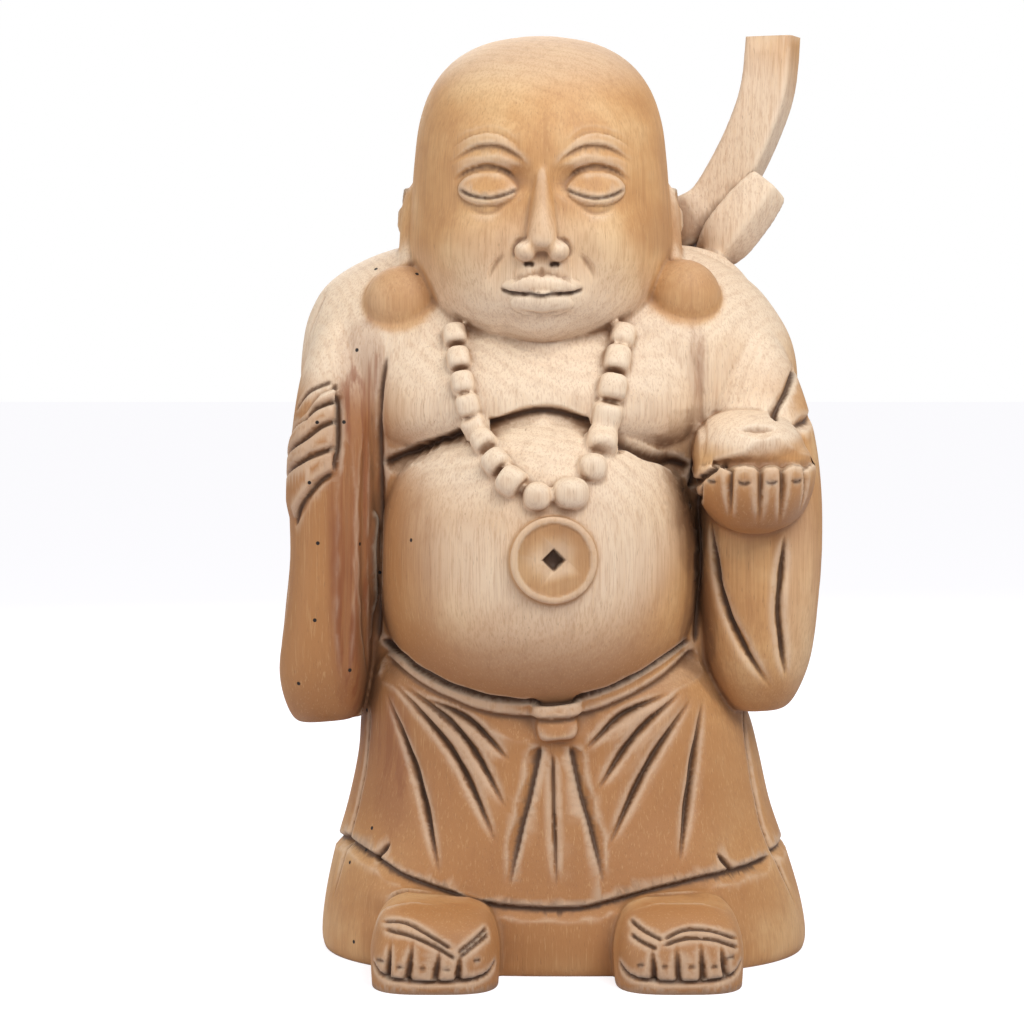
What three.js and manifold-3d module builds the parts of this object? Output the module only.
// A standing buddha statue carved from one log of pale hardwood: open robe, round belly, bead necklace
// with a coin, sandalled feet, and a sack on the back whose tied cloth ends rise over one shoulder.
// Millimetres, +Z up, the viewer at -Y. Left and right are the viewer's.
import * as THREE from "three";
import { mergeVertices } from "three/addons/utils/BufferGeometryUtils.js";
import Module from "manifold-3d";

const wasm = await Module();
wasm.setup();

// Whole figure
const HEIGHT = 602; // floor to the flat end of the taller cloth end
const CENTRE = -10; // middle of the head, chest and belly, seen from the plumb line through the base
const BELOW_FLOOR = -6; // shapes run on past the floor and are cut off flat there

// Skirt: height, middle x, half width, front y, back y
const SKIRT_WIDEST_Y = -12;
const SKIRT = [
  [BELOW_FLOOR, 5.5, 156, -134, 118],
  [6, 5.7, 160.6, -138, 122],
  [30, 5, 158, -136, 119],
  [62, 3.5, 150, -128, 114],
  [94, 2.5, 140, -119, 108],
  [126, 2.2, 133, -112, 102],
  [150, 0, 129, -109, 98],
  [172, -4, 123, -108, 94],
  [190, -8, 117, -101, 90],
  [208, -10, 108, -86, 84],
];

// Robe over the back and shoulders
const ROBE_WIDEST_Y = -4;
const ROBE = [
  [146, 0, 118, -74, 94],
  [200, -2, 138, -77, 101],
  [260, -3, 147, -78, 106],
  [320, -4, 158, -83, 107],
  [365, -4, 164, -88, 103],
  [395, -5, 162, -87, 97],
  [418, -8, 153.5, -78, 90],
  [438, -10, 138, -63, 80],
  [455, -10, 108, -46, 66],
  [467, -8, 66, -28, 46],
];

// Bare chest: height, middle x, half width, front y, back y
const CHEST_WIDEST_Y = -45;
const CHEST = [
  [326, CENTRE - 1, 96, -86, 0],
  [336, CENTRE - 1, 106, -101, 0],
  [349, CENTRE - 1, 109, -109, 0],
  [366, CENTRE - 1, 109, -108, 0],
  [388, CENTRE - 1, 108, -97, 0],
  [408, CENTRE, 102, -83, 0],
  [428, CENTRE, 84, -62, 0],
];
const BELLY = { y: -45, z: 257, radii: [106, 101, 103], full: 2.5 };

// Sleeves: middle x, middle y, height, half width, half depth
const LEFT_SLEEVE = [
  [-149, -34, 151, 29, 49],
  [-151, -34, 180, 32.5, 53],
  [-148, -34, 214, 30.5, 54],
  [-144, -34, 256, 29.5, 54],
  [-144, -33, 300, 30, 54],
  [-142, -31, 345, 30, 52],
  [-134, -26, 385, 31, 48],
  [-120, -20, 415, 30, 38],
];
const RIGHT_SLEEVE = [
  [132, -44, 160, 29, 44],
  [131, -46, 186, 37, 52],
  [131, -46, 215, 39.5, 54],
  [131, -46, 250, 41.5, 54],
  [131, -44, 300, 41.5, 54],
  [129, -40, 340, 39, 50],
  [121, -32, 380, 35, 46],
  [108, -22, 412, 30, 38],
];

// Head: height, middle x, half width, front y, back y
const HEAD_WIDEST_Y = -25;
const HEAD = [
  [394, CENTRE, 34, -72, 4],
  [401, CENTRE, 56, -95, 16],
  [416, CENTRE, 73, -110, 30],
  [438, CENTRE, 83, -116, 44],
  [462, CENTRE, 86, -117, 54],
  [488, CENTRE, 84.5, -114, 60],
  [515, CENTRE, 82.5, -114, 62],
  [541, CENTRE, 79, -107, 58],
  [563, CENTRE, 71, -95, 49],
  [580, CENTRE, 57, -78, 34],
  [591, CENTRE, 37, -58, 12],
  [596, CENTRE, 13, -37, -12],
];
const EAR = { out: 83, y: -20, top: 503, foot: 446, thick: 8, deep: 15 };
const LOBE = { left: [-99, -58, 423], right: [81, -58, 427], radii: [25, 20, 24], droop: 20 };

// Face: a calm one on plain proportions, the eye line halfway up the head
const EYE_LINE = 495;
const EYE_OUT = 33;
const NOSE_FOOT = 448;
const MOUTH_LINE = 427;
const FACE_FRONT = -114;

// Necklace and coin: the strand as x, z seen from the front
const STRAND = [[-64, 399], [-56, 365], [-44, 333], [-11, 300], [9, 301], [27, 325], [35, 368], [41, 399]];
const BEADS = 16;
const BEAD_RADII = [7, 7, 10, 8.5, 8.5];
const COIN = { x: -3, z: 263, radius: 27, rim: 4, proud: 4, thick: 14, hole: 8, holeDepth: 6, recess: 1.2 };

// The left hand's fingers on the robe's edge
const GRIP = { tips: 361, pitch: 19.5, tipX: -146, tipY: -87, backX: -167, backY: -40, drop: 22, wide: 9.8, thick: 7 };

// The right hand, held out: heel, thumb and the curled fingers
const PALM = { x: 125, y: -94, z: 316, radii: [39, 42, 34] };
const THUMB_MOUND = { x: 123, y: -92, z: 332, radii: [36, 38, 23] };
const CURLED = { xs: [100, 116, 132.5, 148, 160], top: 320, foot: 288, y: -131, thick: 9 };

// Sandalled feet, the left one's middle and the right one's
const FOOT = { middles: [-76.5, 75], half: 40, toes: -191, heel: -100, sole: 10, high: 50 };
const TOE_GAPS = [-28, -14.5, 1.5, 14.5]; // from the foot's middle towards its inner side

// Sack on the back and its tied ends
const SACK = { x: 10, y: 75, z: 300, radii: [116, 76, 132] };
const CLOTH_Y = 22; // depth of the ends' front faces

// Gouge lines seen from the front: ends [x, z], how far the middle bows, width, depth
const PLEATS = [
  [[-88, 171], [-29, 131], -6, 6, 5],
  [[-103, 180], [-31, 100], -10, 6, 5],
  [[-109, 182], [-37, 78], -9, 6, 5],
  [[-112, 176], [-74, 58], -4, 6, 5],
  [[73, 175], [16, 138], 5, 6, 5],
  [[82, 176], [24, 112], 5, 6, 5],
  [[89, 173], [31, 77], 4, 6, 5],
  [[95, 173], [77, 65], 0, 6, 5],
  [[-10, 142], [-31, 52], 2, 5, 4],
  [[-3, 140], [0, 50], 0, 5, 4],
  [[8, 142], [30, 53], -2, 5, 4],
];

// A rule for each vertex of a unit sphere or cylinder, rounded so that its seam still meets
const UNIT_STEP = 1e-9;
const snap = (v) => Math.round(v / UNIT_STEP) * UNIT_STEP;

function bend(geometry, rule) {
  const spots = geometry.attributes.position;
  for (let i = 0; i < spots.count; i++) {
    const place = rule(snap(spots.getX(i)), snap(spots.getY(i)), snap(spots.getZ(i)));
    spots.setXYZ(i, place.x, place.y, place.z);
  }
  return geometry;
}

// A closed geometry as a solid that can be joined and cut
function solid(geometry) {
  geometry.deleteAttribute("normal");
  geometry.deleteAttribute("uv");
  const merged = mergeVertices(geometry);
  return new wasm.Manifold(new wasm.Mesh({
    numProp: 3,
    vertProperties: new Float32Array(merged.attributes.position.array),
    triVerts: new Uint32Array(merged.index.array),
  }));
}

// A solid as a geometry again
function geometryOf(body) {
  const mesh = body.getMesh();
  const geometry = new THREE.BufferGeometry();
  geometry.setAttribute("position", new THREE.BufferAttribute(new Float32Array(mesh.vertProperties), 3));
  geometry.setIndex(new THREE.BufferAttribute(new Uint32Array(mesh.triVerts), 1));
  return geometry;
}

const join = (...bodies) => bodies.flat(Infinity).reduce((whole, body) => whole.add(body));

// A number read off a smooth curve through a column of numbers
const spline = (values) => new THREE.SplineCurve(values.map((v, i) => new THREE.Vector2(i, v)));
const column = (rows, i) => spline(rows.map((row) => row[i]));
const read = (curve, t) => curve.getPoint(t).y;

// A direction pushed out from a circle towards a square: 2 is round, 4 is nearly square
function squared(c, s, square) {
  const power = 2 / square;
  return [Math.sign(c) * Math.abs(c) ** power, Math.sign(s) * Math.abs(s) ** power];
}

// Level sections one above another: height, middle x, half width, front y, back y
function stack(levels, widestY, { sides = 44, rows = 12, square = 2.3 } = {}) {
  const [height, middle, half, front, back] = [0, 1, 2, 3, 4].map((i) => column(levels, i));
  return solid(bend(new THREE.CylinderGeometry(1, 1, 1, sides, rows), (x, y, z) => {
    const t = y + 0.5;
    const radius = Math.hypot(x, z);
    const [across, deep] = squared(x, -z, square);
    const reach = deep < 0 ? widestY - read(front, t) : read(back, t) - widestY;
    const size = radius > 0 ? 1 : 0;
    return new THREE.Vector3(
      read(middle, t) + size * across * read(half, t),
      widestY + size * deep * reach,
      read(height, t),
    );
  }));
}

// An egg, fuller than a sphere where full is over 2, turned about its own middle in degrees
function egg([x, y, z], [a, b, c], { sides = 20, rows = 12, full = 2, turn = [0, 0, 0] } = {}) {
  const tilt = new THREE.Euler(...turn.map(THREE.MathUtils.degToRad));
  return solid(bend(new THREE.SphereGeometry(1, sides, rows), (u, v, w) => {
    const round = Math.sqrt(Math.max(1 - v * v, 0));
    const fuller = round > 0 ? (1 - Math.abs(v) ** full) ** (1 / full) / round : 0;
    return new THREE.Vector3(u * fuller * a, -w * fuller * b, v * c).applyEuler(tilt).add({ x, y, z });
  }));
}

// A rounded limb along stations: x, y, z, half width, half height. The width lies across the facing vector.
function limb(stations, { sides = 10, rows = 8, square = 2, blunt = 0.5, facing = [0, -1, 0] } = {}) {
  const path = new THREE.CatmullRomCurve3(
    stations.map(([x, y, z]) => new THREE.Vector3(x, y, z)), false, "catmullrom", 0.5,
  );
  const [wide, high] = [3, 4].map((i) => column(stations, i));
  const face = new THREE.Vector3(...facing);
  return solid(bend(new THREE.SphereGeometry(1, sides, rows), (x, y, z) => {
    const t = (1 + y) / 2;
    const ahead = path.getTangent(t);
    const side = new THREE.Vector3().crossVectors(face, ahead).normalize();
    const up = new THREE.Vector3().crossVectors(side, ahead);
    const ring = Math.hypot(x, z);
    const [c, s] = ring > 0 ? squared(x / ring, z / ring, square) : [0, 0];
    const taper = ring ** blunt;
    return path.getPoint(t)
      .addScaledVector(side, c * taper * read(wide, t))
      .addScaledVector(up, s * taper * read(high, t));
  }));
}

// Where a level line of sight from an azimuth meets a body; azimuth 0 looks from the viewer
const FAR = 500;

function sightOn(body) {
  const target = new THREE.Mesh(geometryOf(body), new THREE.MeshBasicMaterial({ side: THREE.DoubleSide }));
  const ray = new THREE.Raycaster();
  return (across, z, azimuth = 0) => {
    const angle = THREE.MathUtils.degToRad(azimuth);
    const ahead = new THREE.Vector3(-Math.sin(angle), Math.cos(angle), 0);
    const right = new THREE.Vector3(Math.cos(angle), Math.sin(angle), 0);
    const start = right.multiplyScalar(across).addScaledVector(ahead, -FAR);
    start.z = z;
    ray.set(start, ahead);
    const [hit] = ray.intersectObject(target);
    if (!hit) throw new Error(`no wood at ${across}, ${z} seen from ${azimuth}`);
    return { point: hit.point, normal: hit.face.normal.clone() };
  };
}

// A V-shaped gouge line along points [across, z] as seen from an azimuth, running out at both ends
const SHOULDER = 0.5; // the tool's widest part rides this far above the wood, so its ends leave it cleanly

function gouge(sight, points, width, depth, { azimuth = 0, rows = 7 } = {}) {
  const plan = new THREE.CatmullRomCurve3(points.map(([a, z]) => new THREE.Vector3(a, 0, z)));
  const spots = Array.from({ length: rows + 1 }, (_, i) => {
    const spot = plan.getPoint(i / rows);
    return sight(spot.x, spot.z, azimuth);
  });
  return solid(bend(new THREE.SphereGeometry(1, 4, rows), (x, y, z) => {
    const i = Math.round((1 - Math.acos(THREE.MathUtils.clamp(y, -1, 1)) / Math.PI) * rows);
    const { point, normal } = spots[i];
    const before = spots[Math.max(i - 1, 0)].point;
    const after = spots[Math.min(i + 1, rows)].point;
    const ahead = new THREE.Vector3().subVectors(after, before).normalize();
    const side = new THREE.Vector3().crossVectors(normal, ahead).normalize();
    const ring = Math.hypot(x, z);
    const taper = i === 0 || i === rows ? 0 : Math.sin(Math.PI * i / rows) ** 0.4;
    const [c, s] = ring > 0 ? [x / ring, z / ring] : [0, 0];
    return point.clone()
      .addScaledVector(normal, SHOULDER)
      .addScaledVector(side, c * taper * (width / 2 + SHOULDER))
      .addScaledVector(new THREE.Vector3().crossVectors(side, ahead), s * taper * (depth + SHOULDER));
  }));
}

// A line between two ends whose middle is pushed off the straight by some millimetres
function bowed([x0, z0], [x1, z1], bow) {
  const long = Math.hypot(x1 - x0, z1 - z0);
  const middle = [(x0 + x1) / 2 + bow * (z1 - z0) / long, (z0 + z1) / 2 - bow * (x1 - x0) / long];
  return [[x0, z0], middle, [x1, z1]];
}

// The skirt, the robe, the chest and belly in its opening, and the sleeves
function trunk() {
  return join(
    stack(SKIRT, SKIRT_WIDEST_Y, { sides: 30, rows: 6, square: 2.5 }),
    stack(ROBE, ROBE_WIDEST_Y, { sides: 30, rows: 7, square: 2.8 }),
    stack(CHEST, CHEST_WIDEST_Y, { sides: 28, rows: 5, square: 2.6 }),
    egg([CENTRE - 1, BELLY.y, BELLY.z], BELLY.radii, { sides: 26, rows: 11, full: BELLY.full }),
    limb(LEFT_SLEEVE, { sides: 12, rows: 9, square: 3.2, blunt: 0.25 }),
    limb(RIGHT_SLEEVE, { sides: 12, rows: 9, square: 2.7, blunt: 0.35 }),
  );
}

function head() {
  const ears = [-1, 1].map((side) => {
    const x = CENTRE + side * EAR.out;
    return limb([
      [x - side * 4, EAR.y + 6, EAR.top, EAR.thick * 0.7, EAR.deep * 0.7],
      [x, EAR.y + 2, EAR.top - 16, EAR.thick, EAR.deep],
      [x + side * 2, EAR.y - 8, EAR.foot + 12, EAR.thick, EAR.deep * 0.9],
      [x + side * 6, EAR.y - 26, EAR.foot - 8, EAR.thick, EAR.deep * 0.9],
    ], { sides: 6, rows: 5 });
  });
  return join(
    stack(HEAD, HEAD_WIDEST_Y, { sides: 24, rows: 10, square: 2.15 }),
    egg(LOBE.left, LOBE.radii, { sides: 11, rows: 7 }),
    egg(LOBE.right, LOBE.radii, { sides: 11, rows: 7, turn: [0, LOBE.droop, 0] }),
    ears, face(),
  );
}

// Brow, closed eyes, nose, lips and chin
function face() {
  const halves = [-1, 1].map((side) => {
    const x = (out) => CENTRE + side * out;
    const lid = egg([x(EYE_OUT), FACE_FRONT + 11, EYE_LINE], [18, 10, 9], { sides: 8, rows: 5 });
    const brow = limb([
      [x(8), FACE_FRONT + 3, EYE_LINE + 10, 4, 5],
      [x(EYE_OUT), FACE_FRONT + 5, EYE_LINE + 21, 6, 6],
      [x(EYE_OUT + 24), FACE_FRONT + 26, EYE_LINE + 12, 4, 5],
    ], { sides: 6, rows: 5 });
    const wing = egg([x(10), FACE_FRONT - 2, NOSE_FOOT + 5], [8, 10, 7], { sides: 7, rows: 4 });
    return [lid, brow, wing];
  });
  const nose = limb([
    [CENTRE, FACE_FRONT + 4, EYE_LINE + 8, 6, 8],
    [CENTRE, FACE_FRONT, EYE_LINE - 12, 7, 8],
    [CENTRE, FACE_FRONT - 6, NOSE_FOOT + 4, 11, 11],
  ], { sides: 6, rows: 5, blunt: 0.6 });
  const lip = (rise, half, thick) => limb([
    [CENTRE - half, FACE_FRONT + 6, MOUTH_LINE + rise * 0.4 + 1, 2, 3],
    [CENTRE, FACE_FRONT - 1, MOUTH_LINE + rise, thick, 5],
    [CENTRE + half, FACE_FRONT + 6, MOUTH_LINE + rise * 0.4 + 1, 2, 3],
  ], { sides: 6, rows: 5, facing: [0, 0, 1] });
  const chin = egg([CENTRE, FACE_FRONT + 18, MOUTH_LINE - 18], [26, 16, 12], { sides: 8, rows: 5 });
  return join(halves, nose, lip(4, 28, 4), lip(-4, 24, 4.5), chin);
}

// Beads carved on the chest, largest at the bottom of the loop, each a short barrel along the strand
function necklace(sight) {
  const strand = new THREE.CatmullRomCurve3(STRAND.map(([x, z]) => new THREE.Vector3(x, 0, z)));
  const size = spline(BEAD_RADII);
  const half = strand.getLength() / BEADS / 2 + 0.4;
  return Array.from({ length: BEADS }, (_, i) => {
    const t = (i + 0.5) / BEADS;
    const spot = strand.getPointAt(t);
    const ahead = strand.getTangentAt(t);
    const radius = read(size, t);
    const { point } = sight(spot.x, spot.z);
    const station = (along) => [point.x + ahead.x * along, point.y, point.z + ahead.z * along, radius, radius];
    return limb([station(-half), station(0), station(half)], { sides: 6, rows: 4, blunt: 0.42 });
  });
}

// The coin: a disc laid on the belly, its face a little sunk inside a rim, with a diamond hole
function coin(sight) {
  const { point, normal } = sight(COIN.x, COIN.z);
  const lie = new THREE.Matrix4().lookAt(normal, new THREE.Vector3(), new THREE.Vector3(0, 0, 1));
  const plate = (radius, thick, top, sides) => {
    const disc = new THREE.CylinderGeometry(radius, radius, thick, sides);
    disc.rotateX(Math.PI / 2).translate(0, 0, top - thick / 2).applyMatrix4(lie);
    return solid(disc.translate(point.x, point.y, point.z));
  };
  const { radius, rim, proud, thick, recess, hole, holeDepth } = COIN;
  return {
    disc: plate(radius, thick, proud, 24),
    sunk: plate(radius - rim, recess + proud, proud * 2, 24),
    hole: plate(hole, holeDepth + proud, proud * 2, 4),
  };
}

// Four fingers holding the robe's edge, wrapped from its front face down round its side
function grippingHand() {
  return Array.from({ length: 4 }, (_, i) => {
    const z = GRIP.tips - i * GRIP.pitch;
    return limb([
      [GRIP.tipX, GRIP.tipY, z, GRIP.wide * 0.85, GRIP.thick],
      [GRIP.tipX - 14, GRIP.tipY - 1, z - 8, GRIP.wide, GRIP.thick],
      [GRIP.backX, GRIP.tipY + 14, z - GRIP.drop * 0.75, GRIP.wide, GRIP.thick],
      [GRIP.backX - 2, GRIP.backY, z - GRIP.drop, GRIP.wide, GRIP.thick],
    ], { sides: 7, rows: 6, square: 2.4, blunt: 0.3, facing: [-0.6, -1, 0.3] });
  });
}

// The right hand, palm up: heel and thumb above, the curled fingers in front and below
function openHand() {
  const fingers = CURLED.xs.map((x) => {
    const bow = ((x - PALM.x - 4) / 10) ** 2 * 1.1;
    const inward = (x - PALM.x) * 0.25;
    return limb([
      [x, CURLED.y + bow + 1, CURLED.top, CURLED.thick, CURLED.thick],
      [x, CURLED.y + bow, (CURLED.top + CURLED.foot) / 2 + 2, CURLED.thick, CURLED.thick],
      [x - inward, CURLED.y + bow + 12, CURLED.foot, CURLED.thick, CURLED.thick],
    ], { sides: 7, rows: 5, blunt: 0.35 });
  });
  const { x, y, z, radii } = THUMB_MOUND;
  const thumb = limb([
    [x - 14, y - 16, z + 14, 9, 7],
    [x + 2, y - 24, z + 14, 9, 7],
    [x + 16, y - 26, z + 10, 6, 5],
  ], { sides: 8, rows: 6, facing: [0, 0, 1] });
  const mound = egg([x, y, z], radii, { sides: 12, rows: 7 });
  const heel = egg([PALM.x, PALM.y, PALM.z - 6], PALM.radii, { sides: 14, rows: 8 });
  return [heel, mound, thumb, fingers];
}

// One sandalled foot: a flat sole, the instep and the row of toes
function foot(x) {
  return stack([
    [BELOW_FLOOR, x, FOOT.half - 1, FOOT.toes + 3, FOOT.heel],
    [FOOT.sole, x, FOOT.half, FOOT.toes, FOOT.heel],
    [24, x, FOOT.half, FOOT.toes + 2, FOOT.heel],
    [37, x, FOOT.half - 3, FOOT.toes + 9, FOOT.heel],
    [46, x, FOOT.half - 9, FOOT.toes + 22, FOOT.heel],
    [FOOT.high, x, FOOT.half - 20, FOOT.toes + 36, FOOT.heel],
  ], (FOOT.toes + FOOT.heel) / 2, { sides: 18, rows: 5, square: 3.2 });
}

// The sack on the back, its gathered neck on the shoulder and the two stiff cloth ends beyond the tie
function sack() {
  const bag = egg([SACK.x, SACK.y, SACK.z], SACK.radii, { sides: 20, rows: 10, full: 2.2 });
  const neck = limb([
    [26, 96, 380, 66, 44],
    [40, 76, 420, 50, 36],
    [56, 56, 452, 30, 26],
    [76, CLOTH_Y + 18, 474, 19, 18],
  ], { sides: 10, rows: 6, blunt: 0.35, facing: [0, 1, 0] });
  const tall = limb([
    [62, CLOTH_Y + 14, 470, 19, 16],
    [85, CLOTH_Y + 14, 475, 17.5, 15],
    [106, CLOTH_Y + 14, 488, 16.5, 14],
    [122, CLOTH_Y + 14, 513, 16, 14],
    [136, CLOTH_Y + 14, 543, 16, 14],
    [144.5, CLOTH_Y + 14, 572, 16.5, 14],
    [148, CLOTH_Y + 14, HEIGHT + 14, 17, 14],
  ], { sides: 8, rows: 10, square: 4.5, blunt: 0.12, facing: [-0.4, -1, 0] });
  const short = limb([
    [100, CLOTH_Y - 4, 447, 10, 8],
    [112, CLOTH_Y - 6, 463, 17, 9],
    [128, CLOTH_Y - 6, 483, 18, 9],
    [147, CLOTH_Y - 4, 508, 14, 6],
  ], { sides: 8, rows: 6, square: 2.6, blunt: 0.22, facing: [0.3, -1, 0.2] });
  const collar = limb([
    [66, 0, 457, 6, 8], [92, 2, 455, 6, 8], [114, 8, 446, 6, 8], [132, 16, 430, 5, 7],
  ], { sides: 6, rows: 5 });
  return [bag, neck, tall, short, collar];
}

// Lines cut into the clothes and under the chest
function clothCuts(sight) {
  const line = (points, width, depth, rows) => gouge(sight, points, width, depth, { rows });
  return join(
    PLEATS.map(([from, to, bow, width, depth]) => line(bowed(from, to, bow), width, depth, bow === 0 ? 2 : 3)),
    line([[-110, 322], [-62, 341], [-10, 354], [40, 337], [84, 320]], 8, 6, 10),
    line([[-112, 189], [-82, 173], [-10, 161], [55, 173], [88, 192]], 5, 4, 8),
    line([[-138, 75], [-100, 60], [-50, 46], [0, 42], [50, 50], [100, 60], [138, 66]], 6, 5, 9),
    line([[98, 282], [102, 250], [114, 214], [136, 178]], 6, 4, 4),
    line([[145, 275], [142, 232], [147, 185]], 5, 4, 3),
    [-143, -127].map((x) => line([[x, 330], [x, 250], [x, 178]], 8, 2.5, 3)),
  );
}

// Toe gaps, the sandal's straps and the line over its sole
function footCuts(x, sight) {
  const inner = x < 0 ? 1 : -1;
  const line = (points, width, depth, rows) => gouge(
    sight, points.map(([out, z]) => [x + inner * out, z]), width, depth, { rows },
  );
  return join(
    TOE_GAPS.map((out) => line([[out, 33], [out, 12]], 6, 5, 2)),
    line([[-33, 37], [-8, 36], [14, 25]], 4, 3, 3),
    line([[16, 25], [33, 35]], 4, 3, 2),
    line([[-37, 14], [0, FOOT.sole - 1], [37, 14]], 3.5, 3, 4),
  );
}

function statue() {
  const plain = trunk();
  const onPlain = sightOn(plain);
  const knot = limb([[0, -106, 174, 17, 9], [0, -111, 157, 16, 8], [1, -114, 146, 12, 6]],
    { sides: 8, rows: 5, square: 3, blunt: 0.3 });
  const feet = FOOT.middles.map((x) => {
    const block = foot(x);
    return block.subtract(footCuts(x, sightOn(block)));
  });
  const { disc, sunk, hole } = coin(onPlain);
  const whole = join(
    plain.subtract(clothCuts(onPlain)), head(), necklace(onPlain), knot, grippingHand(), openHand(), feet, sack(),
  ).add(disc).subtract(sunk).subtract(hole);
  const slab = (z0, z1) => solid(new THREE.BoxGeometry(FAR, FAR, z1 - z0).translate(0, 0, (z0 + z1) / 2));
  return whole.subtract(slab(-FAR, 0)).subtract(slab(HEIGHT, HEIGHT + FAR));
}

const wood = new THREE.MeshStandardMaterial({ color: "#c49a6c", roughness: 0.7, metalness: 0 });
const mesh = new THREE.Mesh(geometryOf(statue()), wood);
mesh.name = "buddha_statue";
mesh.geometry.computeBoundingBox();
const middle = mesh.geometry.boundingBox.getCenter(new THREE.Vector3());
mesh.position.set(-middle.x, -middle.y, 0);

const figure = new THREE.Group();
figure.add(mesh);
export default figure;
